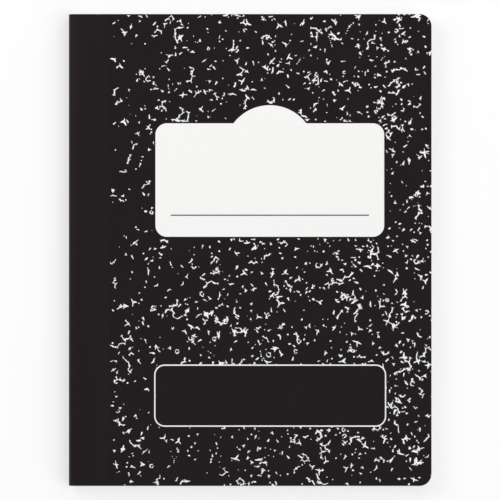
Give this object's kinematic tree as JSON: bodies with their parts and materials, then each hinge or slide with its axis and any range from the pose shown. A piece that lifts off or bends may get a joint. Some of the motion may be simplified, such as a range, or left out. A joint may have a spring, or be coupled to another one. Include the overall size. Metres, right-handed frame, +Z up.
{
  "type": "composition notebook",
  "caption": "Sewn composition notebook: black marbled card covers, taped spine, round fore-edge corners, a white name window with an arched top and an outlined panel. Both covers open.",
  "frame": {"origin": "centre of the footprint, on the surface that the notebook lies on", "axes": "+X from the spine to the fore-edge, +Y from tail to head, +Z up through the front cover"},
  "size_m": [0.1905, 0.2476, 0.0105],
  "materials": {
    "paper": "uncoated, matte",
    "thread": "twisted cotton",
    "card": "smooth white card",
    "ink": "black ink with a satin coat",
    "tape": "black book cloth tape, satin"
  },
  "bodies": {
    "book_block": {"page_block": "paper", "binding_thread": "thread", "cover_spine_fold": "card", "spine_tape": "tape"},
    "front_cover": {"front_cover": "card", "front_cover_ink": "ink", "front_label_rule_ink": "ink", "front_panel_ink": "ink", "front_tape_flap": "tape"},
    "back_cover": {"back_cover": "card", "back_cover_ink": "ink", "back_tape_flap": "tape"}
  },
  "joints": [
    {"name": "front_cover_hinge", "type": "hinge", "parent": "book_block", "child": "front_cover", "pos_m": [-0.09112, 0, 0.0105], "axis": [0, -1, 0], "range_deg": [0, 180]},
    {"name": "back_cover_hinge", "type": "hinge", "parent": "book_block", "child": "back_cover", "pos_m": [-0.09112, 0, 0], "axis": [0, 1, 0], "range_deg": [0, 180]}
  ]
}
